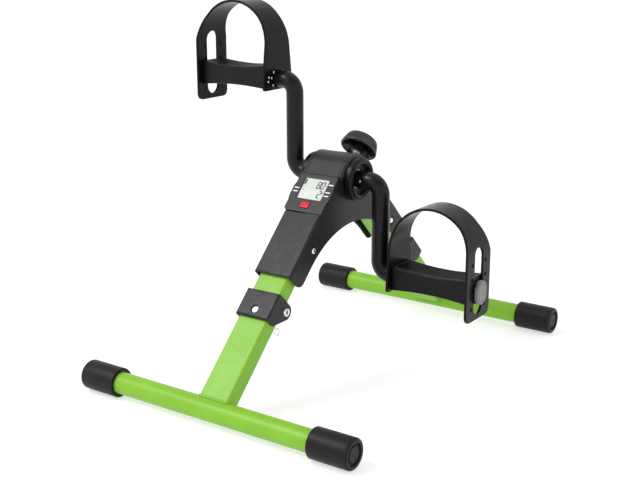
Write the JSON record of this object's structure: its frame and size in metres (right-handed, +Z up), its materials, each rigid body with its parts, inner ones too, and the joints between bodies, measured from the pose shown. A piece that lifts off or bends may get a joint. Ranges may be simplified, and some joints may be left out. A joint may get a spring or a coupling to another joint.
{
  "type": "pedal exerciser",
  "caption": "Folding floor-standing pedal exerciser: T-shaped legs under an arched saddle with a strapped pedal crank, tension knob and small meter.",
  "frame": {"origin": "on the floor, midway between the four foot caps and straight below the middle of the crank axle", "axes": "+X runs across the machine to the user's right, along the axle and the foot tubes; +Y runs from the user's side, with the meter, to the knob's side; +Z is up"},
  "size_m": [0.3974, 0.5144, 0.437],
  "materials": {
    "black_steel": "satin black powder coat",
    "black_plastic": "satin moulded",
    "black_gloss": "smooth semi-gloss",
    "grey_plastic": "satin moulded",
    "green_paint": "gloss powder coat",
    "rubber": "matt moulded",
    "chrome": "bright plated",
    "steel": "turned",
    "white_nylon": "moulded nylon",
    "red_plastic": "semi-gloss",
    "clear": "clear acrylic",
    "display": "reflective liquid crystal panel",
    "board_green": "solder mask"
  },
  "bodies": {
    "frame": {"saddle_frame": "black_steel", "top_cover": "black_plastic", "front_stub": "green_paint", "rear_stub": "green_paint", "front_bracket": "black_steel", "rear_bracket": "black_steel", "front_frame_rivet": "chrome", "rear_frame_rivet": "chrome", "front_pivot_rivet": "chrome", "rear_pivot_rivet": "chrome", "left_bush": "white_nylon", "right_bush": "white_nylon", "left_hub_cap": "black_plastic", "right_hub_cap": "black_plastic", "meter_case": "black_plastic", "meter_lens": "clear", "lcd_panel": "display", "meter_board": "board_green", "meter_battery": "steel", "meter_back": "black_plastic", "reed_sensor": "black_plastic", "sensor_lead": "rubber", "brake_guide": "steel", "tension_nut": "chrome"},
    "crank": {"crank_axle": "steel", "brake_drum": "steel", "trip_magnet": "steel", "left_crank": "black_gloss", "right_crank": "black_gloss", "left_crank_pin": "chrome", "right_crank_pin": "chrome", "left_pedal_spindle": "steel", "right_pedal_spindle": "steel", "left_spindle_clip": "steel", "right_spindle_clip": "steel"},
    "left_pedal": {"left_pedal_body": "black_plastic", "left_pedal_bush": "white_nylon", "left_pedal_strap": "black_gloss", "left_pedal_end_cap": "grey_plastic"},
    "right_pedal": {"right_pedal_body": "black_plastic", "right_pedal_bush": "white_nylon", "right_pedal_strap": "black_gloss", "right_pedal_end_cap": "grey_plastic"},
    "brake_shoe": {"brake_shoe": "white_nylon"},
    "knob": {"tension_rod": "chrome", "tension_knob": "black_plastic"},
    "meter_button": {"meter_button": "red_plastic"},
    "front_leg": {"front_leg": "green_paint", "front_foot_tube": "green_paint", "front_left_foot_cap": "rubber", "front_right_foot_cap": "rubber"},
    "rear_leg": {"rear_leg": "green_paint", "rear_foot_tube": "green_paint", "rear_left_foot_cap": "rubber", "rear_right_foot_cap": "rubber"},
    "front_lock_pin": {"front_lock_pin": "chrome"},
    "rear_lock_pin": {"rear_lock_pin": "chrome"}
  },
  "joints": [
    {"name": "crank_spin", "type": "hinge", "parent": "frame", "child": "crank", "pos_m": [0, 0, 0.234], "axis": [1, 0, 0], "continuous": true},
    {"name": "left_pedal_spin", "type": "hinge", "parent": "crank", "child": "left_pedal", "pos_m": [-0.14, 0, 0.344], "axis": [1, 0, 0], "continuous": true},
    {"name": "right_pedal_spin", "type": "hinge", "parent": "crank", "child": "right_pedal", "pos_m": [0.14, 0, 0.124], "axis": [1, 0, 0], "continuous": true},
    {"name": "shoe_slide", "type": "slide", "parent": "frame", "child": "brake_shoe", "axis": [0, -0.7071, -0.7071], "range_m": [-0.0025, 0.00125]},
    {"name": "knob_turn", "type": "hinge", "parent": "brake_shoe", "child": "knob", "pos_m": [0, 0.04523, 0.25877], "axis": [0, -0.7071, -0.7071], "range_deg": [-720, 360]},
    {"name": "button_press", "type": "slide", "parent": "frame", "child": "meter_button", "axis": [0, 0.7071, -0.7071], "range_m": [0, 0.001], "stiffness_N_per_m": 400, "springref_m": -0.001},
    {"name": "front_leg_fold", "type": "hinge", "parent": "frame", "child": "front_leg", "pos_m": [0, -0.13432, 0.10392], "axis": [1, 0, 0], "range_deg": [0, 105]},
    {"name": "rear_leg_fold", "type": "hinge", "parent": "frame", "child": "rear_leg", "pos_m": [0, 0.13432, 0.10392], "axis": [-1, 0, 0], "range_deg": [0, 105]},
    {"name": "front_pin_pull", "type": "slide", "parent": "front_leg", "child": "front_lock_pin", "axis": [0, 0.7071, -0.7071], "range_m": [0, 0.005], "stiffness_N_per_m": 1500, "springref_m": -0.003},
    {"name": "rear_pin_pull", "type": "slide", "parent": "rear_leg", "child": "rear_lock_pin", "axis": [0, -0.7071, -0.7071], "range_m": [0, 0.005], "stiffness_N_per_m": 1500, "springref_m": -0.003}
  ],
  "couplings": [
    {"joint": "shoe_slide", "follows": "knob_turn", "m_per_rad": 0.00019894}
  ]
}
